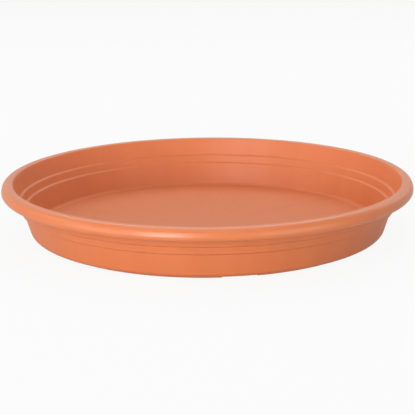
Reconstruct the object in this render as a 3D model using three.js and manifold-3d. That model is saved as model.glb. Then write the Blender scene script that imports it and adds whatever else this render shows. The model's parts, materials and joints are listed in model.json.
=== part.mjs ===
// A round saucer for a plant pot, moulded in one piece from a thin skin of plastic.
// The skin runs from the floor up a leaning wall with two small ledges, over the crest of the rim and
// down into a rolled edge that stays open underneath. A broken foot ring lifts the floor off the ground.
// Millimetres, +Z up, the origin on the ground at the centre.

import * as THREE from "three";
import { mergeVertices } from "three/addons/utils/BufferGeometryUtils.js";
import Module from "manifold-3d";

// Overall sizes.
const rimDiameter = 300; // across the widest circle of the rim
const overallHeight = 40; // from the ground to the crest of the rim
const wallThickness = 1.9;
const floorThickness = 1.8;

// Wall. The ledges are measured at the middle of their slope, on the inside.
const wallLean = 16.9; // degrees outwards from upright
const upperLedgeDrop = 13.25; // below the crest
const ledgeSpacing = 5.85; // from the upper ledge down to the lower one
const ledgeStep = 1.5; // how far each ledge carries the wall outwards
const ledgeSlope = 20; // degrees from level, low on the inner side
const ledgeRound = 1.1;
const baseRound = 4.7; // outside, where the wall meets the underside

// Rim. Its outer face flares out below a round shoulder and turns in under a smaller round, the lip.
const rimDrop = 8.8; // from the crest to the lowest point of the lip
const rimProjection = 8.25; // from the inner face of the wall, carried up to the crest, to the widest circle
const rimFlare = 14; // degrees outwards from upright, going down the outer face
const crestRound = 1.5; // where the inner face of the wall meets the flat crest
const shoulderRound = 4.5;
const lipRound = 3.25;
const sharpRound = 0.3; // behind a round that is smaller than the skin is thick

// Foot ring, and a second ring that carries the middle of the floor.
const footHeight = 1.8;
const footTipWidth = 2.2;
const footDraft = 12; // degrees
const footRound = 0.4;
const footInset = 3.2; // from the edge of the flat underside to the outer edge of the foot's tip
const innerFootDiameter = 122;
const footGaps = 6;
const footGapWidth = 24; // between two lengths of foot, at the tip
const footGapFlare = 35; // degrees from upright at the ends of each length
const footGapTurn = 9.7; // degrees from the front, -Y, towards +X to the middle of the first gap

// Moulding gate, in a shallow well so that its stub stays clear of the ground.
const gateWellDiameter = 14;
const gateWellDepth = 0.5;
const gateStubDiameter = 3.2;
const gateStubHeight = 0.9;

// Fineness of the facets.
const turnSteps = 72; // around the axis
const innerFootTurnSteps = 48;
const facetError = 0.06; // between a round of the outline and its facets
const weldDistance = 1e-4; // points closer together than this are one point
const footRootSink = 0.4; // the foot is joined this far up inside the floor

const radians = (degrees) => THREE.MathUtils.degToRad(degrees);
const point = (radius, height) => new THREE.Vector2(radius, height);

// Sizes that follow from the ones above.
const rimRadius = rimDiameter / 2;
const lipBottom = overallHeight - rimDrop;
const lipEndRadius = rimRadius - lipRound - wallThickness / 2;
const wallTopRadius = rimRadius - rimProjection;
const floorHeight = footHeight + floorThickness;
const footGapReach = 4 * footTipWidth; // length of the bar that cuts a gap, across the foot
const ledgeRise = ledgeStep * Math.tan(radians(ledgeSlope));

// Radius of the wall's inner face at a height, with so many ledges above it.
function wallInside(height, ledgesAbove) {
  return wallTopRadius - (overallHeight - height) * Math.tan(radians(wallLean)) - ledgesAbove * ledgeStep;
}

// Radius of the rim's flared outer face at a height. It touches the lip's round, which is the widest part.
function flareOutside(height) {
  const flare = radians(rimFlare);
  const touch = point(Math.cos(flare), Math.sin(flare)).multiplyScalar(lipRound);
  touch.add(point(rimRadius - lipRound, lipBottom + lipRound));
  return touch.x - (height - touch.y) * Math.tan(flare);
}

// The two corners of a ledge on the inner face, from the lower one up.
// The step is added across the leaning wall, so each corner lies on the wall line of its own band.
function ledgeCorners(drop, ledgesAbove) {
  const middle = overallHeight - drop;
  const lower = middle - ledgeRise / 2;
  const upper = middle + ledgeRise / 2;
  const rounds = { round: ledgeRound, backRound: ledgeRound, thickness: wallThickness };
  return [
    { at: point(wallInside(lower, ledgesAbove + 1), lower), ...rounds },
    { at: point(wallInside(upper, ledgesAbove), upper), ...rounds },
  ];
}

// A round over a corner that the skin bends away from, with the round behind it about the same centre.
function skinRound(round) {
  return { round, backRound: Math.max(round - wallThickness, sharpRound), thickness: wallThickness };
}

// The face that is seen from above, from the middle of the floor to the end of the lip.
// round is the radius of a corner on this face, backRound that of the same corner on the other face,
// and thickness is that of the skin from this corner to the next.
function faceCorners() {
  return [
    { at: point(0, floorHeight), thickness: floorThickness },
    {
      at: point(wallInside(floorHeight, 2), floorHeight),
      round: Math.max(baseRound - wallThickness, sharpRound),
      backRound: baseRound,
      thickness: wallThickness,
    },
    ...ledgeCorners(upperLedgeDrop + ledgeSpacing, 1),
    ...ledgeCorners(upperLedgeDrop, 0),
    { at: point(wallTopRadius, overallHeight), ...skinRound(crestRound) },
    { at: point(flareOutside(overallHeight), overallHeight), ...skinRound(shoulderRound) },
    { at: point(flareOutside(lipBottom), lipBottom), ...skinRound(lipRound) },
    { at: point(lipEndRadius, lipBottom), round: wallThickness / 2, backRound: wallThickness / 2 },
  ];
}

// The edge between two corners, moved into the skin by its thickness.
function movedEdge(from, to) {
  const along = to.at.clone().sub(from.at).normalize();
  const shift = point(along.y, -along.x).multiplyScalar(from.thickness);
  return { start: from.at.clone().add(shift), along, end: to.at.clone().add(shift) };
}

// Where two straight edges cross.
function crossing(first, second) {
  const apart = second.start.clone().sub(first.start);
  const distance = apart.cross(second.along) / first.along.cross(second.along);
  return first.start.clone().addScaledVector(first.along, distance);
}

// The corners of the face that is seen from below, one skin thickness behind the other.
function backCorners(face) {
  const edges = face.slice(0, -1).map((corner, i) => movedEdge(corner, face[i + 1]));
  const inner = edges.slice(1).map((edge, i) => {
    return { at: crossing(edges[i], edge), round: face[i + 1].backRound };
  });
  const last = { at: edges.at(-1).end, round: face.at(-1).backRound };
  return [{ at: edges[0].start }, ...inner, last];
}

// The points of a line through these corners, with each corner that has a round turned into an arc.
function rounded(corners) {
  const points = [];
  corners.forEach((corner, i) => {
    if (!corner.round) {
      points.push(corner.at);
      return;
    }
    const back = corners[i - 1].at.clone().sub(corner.at).normalize();
    const ahead = corners[i + 1].at.clone().sub(corner.at).normalize();
    const halfAngle = Math.acos(back.dot(ahead)) / 2;
    const toCentre = back.clone().add(ahead).normalize();
    const centre = corner.at.clone().addScaledVector(toCentre, corner.round / Math.sin(halfAngle));
    const arcStart = corner.at.clone().addScaledVector(back, corner.round / Math.tan(halfAngle));
    const turn = (Math.PI - 2 * halfAngle) * Math.sign(ahead.cross(back));
    const turnOfStep = 2 * Math.acos(1 - facetError / corner.round);
    const steps = Math.ceil(Math.abs(turn) / turnOfStep);
    for (let k = 0; k <= steps; k += 1) {
      points.push(arcStart.clone().rotateAround(centre, (turn * k) / steps));
    }
  });
  return points.filter((p, i) => i === 0 || p.distanceTo(points[i - 1]) > weldDistance);
}

// The gate on the underside: a stub in the middle of a shallow well, from the axis outwards.
function gateCorners() {
  const wellTop = footHeight + gateWellDepth;
  const stubEnd = wellTop - gateStubHeight;
  return [
    { at: point(0, stubEnd) },
    { at: point(gateStubDiameter / 2, stubEnd) },
    { at: point(gateStubDiameter / 2, wellTop) },
    { at: point(gateWellDiameter / 2 - gateWellDepth, wellTop) },
    { at: point(gateWellDiameter / 2, footHeight) },
  ];
}

// Outline of half the section: out along the underside, up the outside, round the lip and back inside.
function sectionOutline() {
  const face = faceCorners();
  const back = backCorners(face);
  const outline = [...gateCorners(), ...back.slice(1), ...face.reverse()];
  return rounded(outline);
}

// A solid of revolution about the vertical axis.
function revolve(outline, steps) {
  return new THREE.LatheGeometry(outline, steps).rotateX(Math.PI / 2);
}

// Radius at which the flat underside ends and the round at the base begins.
function flatUndersideRadius() {
  const halfAngle = radians(90 + wallLean) / 2;
  const corner = backCorners(faceCorners())[1].at;
  return corner.x - baseRound / Math.tan(halfAngle);
}

// A ring with a tapered section that stands on the ground, its root sunk into the floor.
function footRing(outerTipRadius, steps) {
  const root = footHeight + footRootSink;
  const flare = root * Math.tan(radians(footDraft));
  const innerTipRadius = outerTipRadius - footTipWidth;
  const corners = [
    { at: point(innerTipRadius - flare, root) },
    { at: point(innerTipRadius, 0), round: footRound },
    { at: point(outerTipRadius, 0), round: footRound },
    { at: point(outerTipRadius + flare, root) },
    { at: point(innerTipRadius - flare, root) },
  ];
  return revolve(rounded(corners), steps);
}

// The shape of one gap in a foot: a bar that points out from the axis and widens downwards, laid across
// the ring so that the ends of the foot slope. It runs past the foot's tip and past its root.
function footGapBar(tipRadius, turn) {
  const top = footHeight + footRootSink * 2;
  const bottom = -footRootSink;
  const slope = Math.tan(radians(footGapFlare));
  const halfAt = (height) => footGapWidth / 2 - height * slope;
  const section = new THREE.Shape([
    point(-halfAt(bottom), bottom),
    point(halfAt(bottom), bottom),
    point(halfAt(top), top),
    point(-halfAt(top), top),
  ]);
  const bar = new THREE.ExtrudeGeometry(section, { depth: footGapReach, bevelEnabled: false });
  return bar
    .rotateX(Math.PI / 2)
    .translate(0, footGapReach / 2 - tipRadius, 0)
    .rotateZ(turn);
}

const wasm = await Module();
wasm.setup();

// A closed geometry as a solid that can be joined and cut.
function toSolid(geometry) {
  geometry.deleteAttribute("normal");
  geometry.deleteAttribute("uv");
  const merged = mergeVertices(geometry, weldDistance);
  const corners = merged.index.array;
  const kept = [];
  for (let i = 0; i < corners.length; i += 3) {
    const triangle = corners.slice(i, i + 3);
    if (new Set(triangle).size === 3) {
      kept.push(...triangle);
    }
  }
  const mesh = new wasm.Mesh({
    numProp: 3,
    vertProperties: merged.attributes.position.array,
    triVerts: new Uint32Array(kept),
  });
  return new wasm.Manifold(mesh);
}

// A solid as a geometry to be shown.
function toGeometry(solid) {
  const mesh = solid.getMesh();
  const geometry = new THREE.BufferGeometry();
  geometry.setAttribute("position", new THREE.BufferAttribute(mesh.vertProperties, 3));
  geometry.setIndex(new THREE.BufferAttribute(mesh.triVerts, 1));
  geometry.computeVertexNormals();
  return geometry;
}

// A foot ring with its gaps cut out.
function brokenFoot(outerTipRadius, steps) {
  let foot = toSolid(footRing(outerTipRadius, steps));
  for (let i = 0; i < footGaps; i += 1) {
    const turn = radians(footGapTurn + (i * 360) / footGaps);
    foot = foot.subtract(toSolid(footGapBar(outerTipRadius, turn)));
  }
  return foot;
}

function saucerGeometry() {
  const skin = toSolid(revolve(sectionOutline(), turnSteps));
  const outerFoot = brokenFoot(flatUndersideRadius() - footInset, turnSteps);
  const innerFoot = brokenFoot(innerFootDiameter / 2, innerFootTurnSteps);
  return toGeometry(skin.add(outerFoot).add(innerFoot));
}

const terracottaPlastic = new THREE.MeshStandardMaterial({
  color: 0xd67b4b,
  roughness: 0.48,
  metalness: 0,
});

const saucer = new THREE.Mesh(saucerGeometry(), terracottaPlastic);
saucer.name = "saucer";

const part = new THREE.Group();
part.name = "plant_saucer";
part.add(saucer);

export default part;
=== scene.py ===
import json
import math

import bmesh
import bpy
from mathutils import Matrix, Vector


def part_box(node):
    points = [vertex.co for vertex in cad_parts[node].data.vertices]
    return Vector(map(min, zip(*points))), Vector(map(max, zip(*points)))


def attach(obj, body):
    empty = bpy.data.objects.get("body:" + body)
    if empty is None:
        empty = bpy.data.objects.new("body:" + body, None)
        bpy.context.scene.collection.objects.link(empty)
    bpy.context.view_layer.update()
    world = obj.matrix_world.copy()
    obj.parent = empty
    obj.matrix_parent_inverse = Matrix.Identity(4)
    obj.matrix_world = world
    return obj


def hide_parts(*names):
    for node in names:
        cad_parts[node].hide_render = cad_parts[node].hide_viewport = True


# A plant pot saucer moulded in terracotta coloured plastic, empty, in a white studio.
# Metres, Z up. The saucer stands on the ground around the origin, its front towards -Y.

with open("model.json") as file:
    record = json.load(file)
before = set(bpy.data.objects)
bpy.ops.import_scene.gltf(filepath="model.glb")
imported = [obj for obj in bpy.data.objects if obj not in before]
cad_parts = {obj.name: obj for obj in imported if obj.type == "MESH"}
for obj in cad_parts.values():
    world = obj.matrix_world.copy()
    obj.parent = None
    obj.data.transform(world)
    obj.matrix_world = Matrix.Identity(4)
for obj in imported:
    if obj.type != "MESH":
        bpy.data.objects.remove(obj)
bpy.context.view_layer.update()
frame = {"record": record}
boxLow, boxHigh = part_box("saucer")
mountPlaces = {mount["name"]: Vector(mount["pos_m"]) for mount in frame["record"]["mounts"]}
print("frame loaded, the saucer is", round(boxHigh.x - boxLow.x, 4), "m across")


# The camera stands in front and a little above, and leans a trace to its right.
camera = {
    "place": (0.0, -0.8955, 0.2447),
    "lookDown": 14.333,  # degrees below level
    "lean": -0.463,      # degrees about the line of sight
    "lens": 108.33,      # mm, as is the sensor
    "sensor": 36.0,
}


def makeCamera(c):
    data = bpy.data.cameras.new("camera")
    data.lens = c["lens"]
    data.sensor_width = c["sensor"]
    eye = bpy.data.objects.new("camera", data)
    bpy.context.scene.collection.objects.link(eye)
    tilt = Matrix.Rotation(math.radians(90 - c["lookDown"]), 4, "X")
    lean = Matrix.Rotation(math.radians(c["lean"]), 4, "Z")
    eye.matrix_world = Matrix.Translation(c["place"]) @ tilt @ lean
    bpy.context.scene.camera = eye


makeCamera(camera)
print("camera placed")


# The saucer. The wall is one skin from the floor up to the rolled rim, with two ledges on its way.
saucer = {
    "rimRadius": boxHigh.x,
    "crest": boxHigh.z,
    "floor": mountPlaces["pot_floor"].z,
    "skin": 0.0019,
    "floorSkin": 0.0018,
    "wallLean": 16.9,           # degrees outwards from upright
    "ledgeDrops": (0.01325, 0.0191),
    "ledgeStep": 0.0015,
    "ledgeSlope": 20,           # degrees from level
    "ledgeRound": 0.0011,
    "baseRound": 0.0047,        # outside
    "rimDrop": 0.0088,
    "rimProjection": 0.00825,
    "rimFlare": 14,             # degrees outwards from upright, going down the rim's outer face
    "crestRound": 0.0015,
    "shoulderRound": 0.0045,
    "lipRound": 0.00325,
    "sharpRound": 0.0003,       # behind a round that is smaller than the skin is thick
    "turnSteps": 288,
    "baseSteps": 12,            # steps of each round from here on
    "ledgeSteps": 6,
    "crestSteps": 10,
    "rimSteps": 14,
    "lipEndSteps": 8,
    "mergeDistance": 0.000001,
    "sharpAngle": 32,           # degrees, edges over this stay crisp
}

# Two broken rings under the floor.
foot = {
    "tipWidth": 0.0022,
    "draft": 12,                # degrees
    "tipRound": 0.0004,
    "tipSteps": 3,
    "outerInset": 0.0032,       # from the edge of the flat underside to the outer tip
    "innerRadius": 0.061,
    "gaps": 6,
    "gapSteps": {"outerFoot": 8, "innerFoot": 16},  # steps of the turn that a gap takes at the root
    "endSlope": 35,             # degrees from upright
    "endSteps": 4,              # steps of the turn over which the slope of an end fades out
}

gate = {
    "wellRadius": 0.007,
    "wellDepth": 0.0005,
    "stubRadius": 0.0016,
    "stubHeight": 0.0009,
}


def wallInside(s, height, ledgesAbove):
    top = s["rimRadius"] - s["rimProjection"]
    leanedIn = (s["crest"] - height) * math.tan(math.radians(s["wallLean"]))
    return top - leanedIn - ledgesAbove * s["ledgeStep"]


def cornerOfFloor(s):
    return wallInside(s, s["floor"], len(s["ledgeDrops"]))


# The rim's outer face touches the round of the lip, which is the widest part.
def flareOutside(s, height):
    flare = math.radians(s["rimFlare"])
    touchRadius = s["rimRadius"] - s["lipRound"] * (1 - math.cos(flare))
    touchHeight = s["crest"] - s["rimDrop"] + s["lipRound"] * (1 + math.sin(flare))
    return touchRadius - (height - touchHeight) * math.tan(flare)


def flatUndersideRadius(s):
    lean = math.radians(s["wallLean"])
    corner = cornerOfFloor(s) + s["skin"] / math.cos(lean) - s["floorSkin"] * math.tan(lean)
    return corner - s["baseRound"] / math.tan((math.pi / 2 + lean) / 2)


def footHeight(s):
    return s["floor"] - s["floorSkin"]


def footTaper(s, f):
    return footHeight(s) * math.tan(math.radians(f["draft"]))


# Radius and height of each ring on the skin's upper face, from the middle of the floor out to
# the end of the lip. The rings on the flat floor mark where the gate and the feet begin.
def saucerRings(s, f, g):
    rings = {
        "middle": (0, s["floor"]),
        "stub": (g["stubRadius"], s["floor"]),
        "wellFlat": (g["wellRadius"] - g["wellDepth"], s["floor"]),
        "wellEdge": (g["wellRadius"], s["floor"]),
    }
    outerTip = flatUndersideRadius(s) - f["outerInset"]
    for name, tip in (("innerFoot", f["innerRadius"]), ("outerFoot", outerTip)):
        rings[name + "Inside"] = (tip - f["tipWidth"] - footTaper(s, f), s["floor"])
        rings[name + "Outside"] = (tip + footTaper(s, f), s["floor"])
    rings["base"] = (cornerOfFloor(s), s["floor"])
    rise = s["ledgeStep"] * math.tan(math.radians(s["ledgeSlope"]))
    for ledgesAbove, drop in reversed(list(enumerate(s["ledgeDrops"]))):
        low = s["crest"] - drop - rise / 2
        high = low + rise
        rings[f"ledge{ledgesAbove}Low"] = (wallInside(s, low, ledgesAbove + 1), low)
        rings[f"ledge{ledgesAbove}High"] = (wallInside(s, high, ledgesAbove), high)
    lip = s["crest"] - s["rimDrop"]
    rings["crest"] = (wallInside(s, s["crest"], 0), s["crest"])
    rings["shoulder"] = (flareOutside(s, s["crest"]), s["crest"])
    rings["lip"] = (flareOutside(s, lip), lip)
    rings["lipEnd"] = (s["rimRadius"] - s["lipRound"] - s["skin"] / 2, lip)
    return rings


# For each ring that gets a round: radius on the upper face, radius on the under face, steps.
def ringRounds(s, names):
    rounds = {"base": (s["baseRound"] - s["skin"], s["baseRound"], s["baseSteps"])}
    for name in names:
        if name.startswith("ledge"):
            rounds[name] = (s["ledgeRound"], s["ledgeRound"], s["ledgeSteps"])
    rounds["crest"] = (s["crestRound"], s["sharpRound"], s["crestSteps"])
    rounds["shoulder"] = (s["shoulderRound"], s["shoulderRound"] - s["skin"], s["rimSteps"])
    rounds["lip"] = (s["lipRound"], s["lipRound"] - s["skin"], s["rimSteps"])
    rounds["lipEnd"] = (s["skin"] / 2, s["skin"] / 2, s["lipEndSteps"])
    return rounds


# Every vertex carries the number of its ring, or -1 where a round has made it,
# and 0 on the upper face of the skin or 1 on the under face.
def ringLayers(mesh):
    return mesh.verts.layers.int["ring"], mesh.verts.layers.int["side"]


# The wire of ring corners is turned about the axis, from the middle of the first gap of the foot,
# so that every gap ends on a step of the turn.
def turnSkin(mesh, s, rings, firstGap):
    ring = mesh.verts.layers.int.new("ring")
    mesh.verts.layers.int.new("side")
    corners = []
    for number, (radius, height) in enumerate(rings.values()):
        corner = mesh.verts.new((radius, 0, height))
        corner[ring] = number
        corners.append(corner)
    for first, second in zip(corners, corners[1:]):
        mesh.edges.new((first, second))
    bmesh.ops.rotate(mesh, verts=mesh.verts, cent=(0, 0, 0), matrix=Matrix.Rotation(firstGap, 3, "Z"))
    bmesh.ops.spin(mesh, geom=mesh.verts[:] + mesh.edges[:], cent=(0, 0, 0), axis=(0, 0, 1),
                   angle=math.tau, steps=s["turnSteps"], use_merge=True)
    bmesh.ops.remove_doubles(mesh, verts=mesh.verts, dist=s["mergeDistance"])
    bmesh.ops.recalc_face_normals(mesh, faces=mesh.faces)
    middle = min(mesh.faces, key=lambda face: face.calc_center_median().length)
    if middle.normal.z < 0:
        bmesh.ops.reverse_faces(mesh, faces=mesh.faces)


# Gives the skin its thickness, with the floor a little thinner than the wall.
def thickenSkin(mesh, s, names):
    ring, side = ringLayers(mesh)
    upper = set(mesh.verts)
    bmesh.ops.solidify(mesh, geom=mesh.faces[:], thickness=s["skin"])
    for v in mesh.verts:
        v[side] = 0 if v in upper else 1
    underFloor = [v for v in mesh.verts if v[side] == 1 and v[ring] <= names.index("base")]
    bmesh.ops.translate(mesh, verts=underFloor, vec=(0, 0, s["skin"] - s["floorSkin"]))


# Rounds a ring of edges to a radius, whatever the angle between its two faces.
def roundRing(mesh, s, edges, radius, steps):
    ring = mesh.verts.layers.int["ring"]
    width = radius * math.tan(edges[0].calc_face_angle() / 2)
    made = bmesh.ops.bevel(mesh, geom=edges, offset=width, offset_type="OFFSET", affect="EDGES",
                           segments=steps, profile=0.5, material=-1, clamp_overlap=False)
    for v in made["verts"]:
        v[ring] = -1
    bmesh.ops.remove_doubles(mesh, verts=mesh.verts, dist=s["mergeDistance"])


def roundRings(mesh, s, names):
    ring, side = ringLayers(mesh)
    for name, (upperRadius, underRadius, steps) in ringRounds(s, names).items():
        for sideNumber, radius in enumerate((upperRadius, underRadius)):
            edges = [edge for edge in mesh.edges
                     if all(v[ring] == names.index(name) and v[side] == sideNumber for v in edge.verts)]
            roundRing(mesh, s, edges, radius, steps)


# Faces of the underside between two rings.
def undersideFaces(mesh, innerRing, outerRing):
    ring, side = ringLayers(mesh)
    return [face for face in mesh.faces
            if all(v[side] == 1 and innerRing <= v[ring] <= outerRing for v in face.verts)]


# Draws faces down by a distance and returns the vertices of their new place.
def drawDown(mesh, faces, distance):
    drawn = bmesh.ops.extrude_face_region(mesh, geom=faces)
    tip = [part for part in drawn["geom"] if isinstance(part, bmesh.types.BMVert)]
    bmesh.ops.translate(mesh, verts=tip, vec=(0, 0, -distance))
    return tip


# One foot ring: the floor between its gaps is drawn down to the ground, tapered, with sloping ends.
def makeFoot(mesh, s, f, names, name, firstGap):
    ring = mesh.verts.layers.int["ring"]
    pitch = s["turnSteps"] / f["gaps"]
    halfGap = f["gapSteps"][name] / 2

    def stepsFromGap(place):
        turn = math.atan2(place.y, place.x) - firstGap
        return turn / math.tau * s["turnSteps"] % pitch

    band = undersideFaces(mesh, names.index(name + "Inside"), names.index(name + "Outside"))
    roots = [face for face in band
             if halfGap < stepsFromGap(face.calc_center_median()) < pitch - halfGap]
    tip = drawDown(mesh, roots, footHeight(s))

    for ringName, outwards in ((name + "Inside", 1), (name + "Outside", -1)):
        tipRing = [v for v in tip if v[ring] == names.index(ringName)]
        radius = tipRing[0].co.xy.length
        share = 1 + outwards * footTaper(s, f) / radius
        bmesh.ops.scale(mesh, verts=tipRing, vec=(share, share, 1))

    slope = footHeight(s) * math.tan(math.radians(f["endSlope"]))
    for v in tip:
        steps = stepsFromGap(v.co)
        fade = 1 - (min(steps, pitch - steps) - halfGap) / f["endSteps"]
        away = 1 if steps < pitch / 2 else -1
        v.co.rotate(Matrix.Rotation(away * max(fade, 0) * slope / v.co.xy.length, 3, "Z"))

    tipVerts = set(tip)
    tipFaces = {face for v in tip for face in v.link_faces if tipVerts.issuperset(face.verts)}
    outline = [edge for edge in mesh.edges if len(tipFaces.intersection(edge.link_faces)) == 1]
    rounded = bmesh.ops.bevel(mesh, geom=outline, offset=f["tipRound"], offset_type="OFFSET",
                              affect="EDGES", segments=f["tipSteps"], profile=0.5, material=-1,
                              clamp_overlap=True)
    for v in rounded["verts"]:
        v[ring] = -1


# The moulding gate: a shallow well under the middle of the floor, with the stub of the sprue in it.
def makeGate(mesh, g, names):
    ring, side = ringLayers(mesh)
    well = [v for v in mesh.verts if v[side] == 1 and 0 <= v[ring] <= names.index("wellFlat")]
    bmesh.ops.translate(mesh, verts=well, vec=(0, 0, g["wellDepth"]))
    drawDown(mesh, undersideFaces(mesh, names.index("middle"), names.index("stub")), g["stubHeight"])


def makeSaucer(s, f, g):
    rings = saucerRings(s, f, g)
    names = list(rings)
    foothold = mountPlaces["foot"]
    firstGap = math.atan2(foothold.y, foothold.x) - math.pi / f["gaps"]
    mesh = bmesh.new()
    turnSkin(mesh, s, rings, firstGap)
    thickenSkin(mesh, s, names)
    print("skin turned,", len(mesh.faces), "faces")
    roundRings(mesh, s, names)
    print("corners rounded,", len(mesh.faces), "faces")
    for name in f["gapSteps"]:
        makeFoot(mesh, s, f, names, name, firstGap)
    makeGate(mesh, g, names)
    print("feet and gate made,", len(mesh.faces), "faces")

    data = bpy.data.meshes.new("saucer_moulding")
    mesh.to_mesh(data)
    mesh.free()
    data.shade_smooth()
    data.set_sharp_from_angle(angle=math.radians(s["sharpAngle"]))
    piece = bpy.data.objects.new("saucer_moulding", data)
    bpy.context.scene.collection.objects.link(piece)
    flats = piece.modifiers.new("even_flats", "WEIGHTED_NORMAL")
    flats.keep_sharp = True
    return piece


moulding = makeSaucer(saucer, foot, gate)


def addNode(tree, kind, values=None, **settings):
    node = tree.nodes.new(kind)
    for name, value in settings.items():
        setattr(node, name, value)
    for name, value in (values or {}).items():
        node.inputs[name].default_value = value
    return node


def mixValue(tree, mask, low, high):
    mix = addNode(tree, "ShaderNodeMix", data_type="FLOAT")
    tree.links.new(mask, mix.inputs["Factor"])
    for socket, value in (("A", low), ("B", high)):
        if isinstance(value, float):
            mix.inputs[socket].default_value = value
        else:
            tree.links.new(value, mix.inputs[socket])
    return mix.outputs["Result"]


def scaled(tree, value, factor, added=0.0):
    node = addNode(tree, "ShaderNodeMath", {1: factor, 2: added}, operation="MULTIPLY_ADD")
    tree.links.new(value, node.inputs[0])
    return node.outputs[0]


def summed(tree, first, second):
    node = addNode(tree, "ShaderNodeMath", operation="ADD")
    tree.links.new(first, node.inputs[0])
    tree.links.new(second, node.inputs[1])
    return node.outputs[0]


def newGroup(name, inputs, outputs):
    tree = bpy.data.node_groups.new(name, "ShaderNodeTree")
    for label, kind in inputs:
        tree.interface.new_socket(label, in_out="INPUT", socket_type=kind)
    for label, kind in outputs:
        tree.interface.new_socket(label, in_out="OUTPUT", socket_type=kind)
    return tree, tree.nodes.new("NodeGroupInput"), tree.nodes.new("NodeGroupOutput")


def placeGroup(tree, group, place, values):
    node = addNode(tree, "ShaderNodeGroup", values, node_tree=group)
    tree.links.new(place, node.inputs["Place"])
    return node.outputs[0]


# The place as it is seen from above, where the saucer's axis is the origin.
def fromAbove(tree, place):
    flat = addNode(tree, "ShaderNodeVectorMath", {1: (1, 1, 0)}, operation="MULTIPLY")
    tree.links.new(place, flat.inputs[0])
    return flat.outputs["Vector"]


def radiusOf(tree, flat):
    radius = addNode(tree, "ShaderNodeVectorMath", operation="LENGTH")
    tree.links.new(flat, radius.inputs[0])
    return radius.outputs["Value"]


# 0 inside a circle about the axis and 1 outside it.
def makeCircleMask():
    tree, given, out = newGroup(
        "circleMask",
        [("Place", "NodeSocketVector"), ("Radius", "NodeSocketFloat"), ("Blend", "NodeSocketFloat")],
        [("Mask", "NodeSocketFloat")])
    start = addNode(tree, "ShaderNodeMath", operation="SUBTRACT")
    end = addNode(tree, "ShaderNodeMath", operation="ADD")
    ramp = addNode(tree, "ShaderNodeMapRange", interpolation_type="SMOOTHSTEP")
    for edge, socket in ((start, "From Min"), (end, "From Max")):
        tree.links.new(given.outputs["Radius"], edge.inputs[0])
        tree.links.new(given.outputs["Blend"], edge.inputs[1])
        tree.links.new(edge.outputs[0], ramp.inputs[socket])
    radius = radiusOf(tree, fromAbove(tree, given.outputs["Place"]))
    tree.links.new(radius, ramp.inputs["Value"])
    tree.links.new(ramp.outputs["Result"], out.inputs["Mask"])
    return tree


# Fine even grain that the etched mould leaves on the plastic.
def makeMouldGrain():
    tree, given, out = newGroup(
        "mouldGrain",
        [("Place", "NodeSocketVector"), ("Spacing", "NodeSocketFloat")],
        [("Height", "NodeSocketFloat")])
    scale = addNode(tree, "ShaderNodeMath", {0: 1}, operation="DIVIDE")
    noise = addNode(tree, "ShaderNodeTexNoise", {"Detail": 3, "Roughness": 0.6})
    tree.links.new(given.outputs["Spacing"], scale.inputs[1])
    tree.links.new(scale.outputs[0], noise.inputs["Scale"])
    tree.links.new(given.outputs["Place"], noise.inputs["Vector"])
    tree.links.new(noise.outputs["Fac"], out.inputs["Height"])
    return tree


# Faint rings from turning the mould, close together up the wall and across the floor.
def makeTurningMarks():
    tree, given, out = newGroup(
        "turningMarks",
        [("Place", "NodeSocketVector"), ("Spacing", "NodeSocketFloat")],
        [("Height", "NodeSocketFloat")])
    parts = addNode(tree, "ShaderNodeSeparateXYZ")
    scale = addNode(tree, "ShaderNodeMath", {0: 1}, operation="DIVIDE")
    noise = addNode(tree, "ShaderNodeTexNoise", {"Detail": 1}, noise_dimensions="1D")
    tree.links.new(given.outputs["Place"], parts.inputs[0])
    radius = radiusOf(tree, fromAbove(tree, given.outputs["Place"]))
    tree.links.new(summed(tree, radius, parts.outputs["Z"]), noise.inputs["W"])
    tree.links.new(given.outputs["Spacing"], scale.inputs[1])
    tree.links.new(scale.outputs[0], noise.inputs["Scale"])
    tree.links.new(noise.outputs["Fac"], out.inputs["Height"])
    return tree


# Long soft streaks where the melt ran outwards from the gate.
def makeFlowStreaks():
    tree, given, out = newGroup(
        "flowStreaks",
        [("Place", "NodeSocketVector"), ("Streaks", "NodeSocketFloat"), ("Length", "NodeSocketFloat")],
        [("Mask", "NodeSocketFloat")])
    outwards = addNode(tree, "ShaderNodeVectorMath", operation="NORMALIZE")
    spread = addNode(tree, "ShaderNodeVectorMath", operation="SCALE")
    run = addNode(tree, "ShaderNodeMath", operation="DIVIDE")
    rise = addNode(tree, "ShaderNodeCombineXYZ")
    both = addNode(tree, "ShaderNodeVectorMath", operation="ADD")
    noise = addNode(tree, "ShaderNodeTexNoise", {"Scale": 1, "Detail": 2, "Roughness": 0.55})
    flat = fromAbove(tree, given.outputs["Place"])
    tree.links.new(flat, outwards.inputs[0])
    tree.links.new(outwards.outputs[0], spread.inputs[0])
    tree.links.new(given.outputs["Streaks"], spread.inputs["Scale"])
    tree.links.new(radiusOf(tree, flat), run.inputs[0])
    tree.links.new(given.outputs["Length"], run.inputs[1])
    tree.links.new(run.outputs[0], rise.inputs["Z"])
    tree.links.new(spread.outputs[0], both.inputs[0])
    tree.links.new(rise.outputs[0], both.inputs[1])
    tree.links.new(both.outputs[0], noise.inputs["Vector"])
    tree.links.new(noise.outputs["Fac"], out.inputs["Mask"])
    return tree


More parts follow.
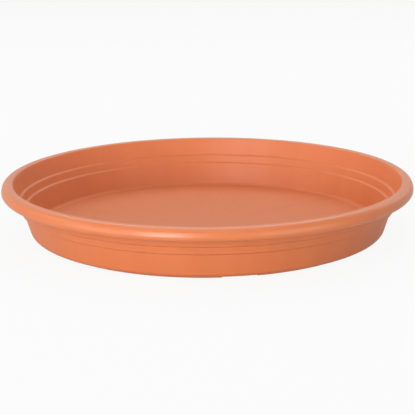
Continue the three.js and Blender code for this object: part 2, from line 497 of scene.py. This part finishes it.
# Satin plastic, coloured all through, shiniest on the rim and dullest on the floor.
finish = {
    "deepColour": (0.68, 0.185, 0.061),
    "paleColour": (0.716, 0.203, 0.069),
    "tintContrast": 1.6,        # how sharply the clouds and streaks part the two colours
    "tintShift": -1.1,          # lower leaves more of the deep colour
    "specular": 0.5,
    "floorRoughness": 0.58,
    "wallRoughness": 0.47,
    "rimRoughness": 0.33,
    "roughnessSpread": 0.08,    # how far the grain and the clouds move the roughness
    "floorEdge": 0.1285,        # radius where the floor's finish gives way to the wall's
    "rimEdge": 0.1415,
    "edgeBlend": 0.001,
    "cloudSize": 0.03,
    "floorGrain": 0.0008,       # spacing
    "floorGrainDepth": 0.000022,
    "wallGrain": 0.0005,
    "wallGrainDepth": 0.000008,
    "turningSpacing": 0.0007,
    "turningDepth": 0.000003,
    "streaks": 9,
    "streakLength": 0.12,
}


def terracottaPlastic(f):
    material = bpy.data.materials.new("terracotta_satin")
    material.use_nodes = True
    tree = material.node_tree
    shader = tree.nodes["Principled BSDF"]
    shader.inputs["Specular IOR Level"].default_value = f["specular"]
    place = addNode(tree, "ShaderNodeTexCoord").outputs["Object"]
    circleMask = makeCircleMask()
    mouldGrain = makeMouldGrain()

    offFloor = placeGroup(tree, circleMask, place, {"Radius": f["floorEdge"], "Blend": f["edgeBlend"]})
    onRim = placeGroup(tree, circleMask, place, {"Radius": f["rimEdge"], "Blend": f["edgeBlend"]})
    clouds = placeGroup(tree, mouldGrain, place, {"Spacing": f["cloudSize"]})
    floorGrain = placeGroup(tree, mouldGrain, place, {"Spacing": f["floorGrain"]})
    wallGrain = placeGroup(tree, mouldGrain, place, {"Spacing": f["wallGrain"]})
    turning = placeGroup(tree, makeTurningMarks(), place, {"Spacing": f["turningSpacing"]})
    streaks = placeGroup(tree, makeFlowStreaks(), place,
                         {"Streaks": f["streaks"], "Length": f["streakLength"]})

    colour = addNode(tree, "ShaderNodeMix", data_type="RGBA")
    colour.inputs["A"].default_value = f["deepColour"] + (1,)
    colour.inputs["B"].default_value = f["paleColour"] + (1,)
    tint = scaled(tree, summed(tree, clouds, streaks), f["tintContrast"], f["tintShift"])
    tree.links.new(tint, colour.inputs["Factor"])
    tree.links.new(colour.outputs["Result"], shader.inputs["Base Color"])

    upTheWall = mixValue(tree, onRim, f["wallRoughness"], f["rimRoughness"])
    roughness = mixValue(tree, offFloor, f["floorRoughness"], upTheWall)
    uneven = scaled(tree, summed(tree, clouds, wallGrain), f["roughnessSpread"], -f["roughnessSpread"])
    tree.links.new(summed(tree, roughness, uneven), shader.inputs["Roughness"])

    grain = mixValue(tree, offFloor,
                     scaled(tree, floorGrain, f["floorGrainDepth"]),
                     scaled(tree, wallGrain, f["wallGrainDepth"]))
    relief = summed(tree, grain, scaled(tree, turning, f["turningDepth"]))
    bump = addNode(tree, "ShaderNodeBump", {"Strength": 1, "Distance": 1})  # the relief is in metres
    tree.links.new(relief, bump.inputs["Height"])
    tree.links.new(bump.outputs["Normal"], shader.inputs["Normal"])
    return material


moulding.data.materials.append(terracottaPlastic(finish))
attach(moulding, "root")
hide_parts("saucer")
print("saucer finished")


# White floor and light. The camera sees the studio white. The plastic mirrors it dimmer,
# and the light that it gives is softer still.
studio = {
    "floorSize": 12.0,
    "floorBehind": 1.5,         # keeps the floor's own edges and diagonals away from the saucer
    "floorGrey": 0.65,
    "shadowShare": 0.08,        # how much of the floor's own shading is seen
    "floorShine": 0.5,          # how much of its white the floor shows in the plastic
    "shine": 0.78,              # the same for the surroundings
    "ambient": 0.3,             # light from the surroundings
    "lampDistance": 1.6,
}


# Rays from the camera, and rays that things mirror or let through.
def seenRays(tree):
    rays = addNode(tree, "ShaderNodeLightPath")
    mirrored = addNode(tree, "ShaderNodeMath", operation="MAXIMUM")
    tree.links.new(rays.outputs["Is Glossy Ray"], mirrored.inputs[0])
    tree.links.new(rays.outputs["Is Transmission Ray"], mirrored.inputs[1])
    return rays.outputs["Is Camera Ray"], mirrored.outputs[0]


def mixShaders(tree, share, first, second):
    mix = addNode(tree, "ShaderNodeMixShader")
    tree.links.new(share, mix.inputs["Fac"])
    tree.links.new(first.outputs[0], mix.inputs[1])
    tree.links.new(second.outputs[0], mix.inputs[2])
    return mix


# Paper that glows white for the camera, and that can't be seen from below.
def floorMaterial(s):
    material = bpy.data.materials.new("white_floor")
    material.use_nodes = True
    tree = material.node_tree
    tree.nodes.clear()
    seen, mirrored = seenRays(tree)
    glowShare = summed(tree,
                       scaled(tree, seen, 1 - s["shadowShare"]),
                       scaled(tree, mirrored, s["floorShine"]))
    paper = addNode(tree, "ShaderNodeBsdfDiffuse", {"Color": (s["floorGrey"],) * 3 + (1,)})
    glow = addNode(tree, "ShaderNodeEmission", {"Strength": 1})
    clear = addNode(tree, "ShaderNodeBsdfTransparent")
    fromBelow = addNode(tree, "ShaderNodeNewGeometry").outputs["Backfacing"]
    white = mixShaders(tree, glowShare, paper, glow)
    surface = mixShaders(tree, fromBelow, white, clear)
    out = addNode(tree, "ShaderNodeOutputMaterial")
    tree.links.new(surface.outputs[0], out.inputs["Surface"])
    return material


def makeFloor(s):
    mesh = bmesh.new()
    bmesh.ops.create_grid(mesh, x_segments=1, y_segments=1, size=s["floorSize"] / 2)
    data = bpy.data.meshes.new("floor")
    mesh.to_mesh(data)
    mesh.free()
    floor = bpy.data.objects.new("floor", data)
    floor.location.y = s["floorBehind"]
    bpy.context.scene.collection.objects.link(floor)
    data.materials.append(floorMaterial(s))


def makeWorld(s):
    world = bpy.data.worlds.new("studio")
    bpy.context.scene.world = world
    world.use_nodes = True
    tree = world.node_tree
    background = tree.nodes["Background"]
    background.inputs["Color"].default_value = (1, 1, 1, 1)
    seen, mirrored = seenRays(tree)
    unseen = mixValue(tree, mirrored, s["ambient"], s["shine"])
    tree.links.new(mixValue(tree, seen, unseen, 1.0), background.inputs["Strength"])


# Soft boxes: where each stands round the saucer, in degrees, and how large and strong it is.
softBoxes = {
    "key": {"turn": -22, "height": 7.5, "size": (0.5, 0.25), "power": 10},
    "front": {"turn": -22, "height": 27, "size": (0.9, 0.5), "power": 5},
    "frontLeft": {"turn": -60, "height": 9, "size": (0.9, 0.4), "power": 3.2},
    "left": {"turn": -90, "height": 30, "size": (0.8, 0.8), "power": 2.2},
    "right": {"turn": 45, "height": 10, "size": (1.3, 0.5), "power": 4.2},
    "behindRight": {"turn": 135, "height": 30, "size": (0.8, 0.8), "power": 1.5},
    "behind": {"turn": 180, "height": 50, "size": (1.4, 0.8), "power": 7.7},
    "above": {"turn": 0, "height": 89, "size": (1.2, 1.2), "power": 4.2},
}


def makeSoftBoxes(boxes, distance):
    for name, b in boxes.items():
        lamp = bpy.data.lights.new(name, "AREA")
        lamp.shape = "RECTANGLE"
        lamp.size, lamp.size_y = b["size"]
        lamp.energy = b["power"]
        light = bpy.data.objects.new(name, lamp)
        light.visible_camera = False
        bpy.context.scene.collection.objects.link(light)
        turn = math.radians(b["turn"])
        height = math.radians(b["height"])
        level = math.cos(height)
        away = Vector((math.sin(turn) * level, -math.cos(turn) * level, math.sin(height)))
        light.location = away * distance
        light.rotation_euler = away.to_track_quat("Z", "Y").to_euler()


makeFloor(studio)
makeWorld(studio)
makeSoftBoxes(softBoxes, studio["lampDistance"])
bpy.context.scene.view_settings.view_transform = "Standard"
print("studio lit")
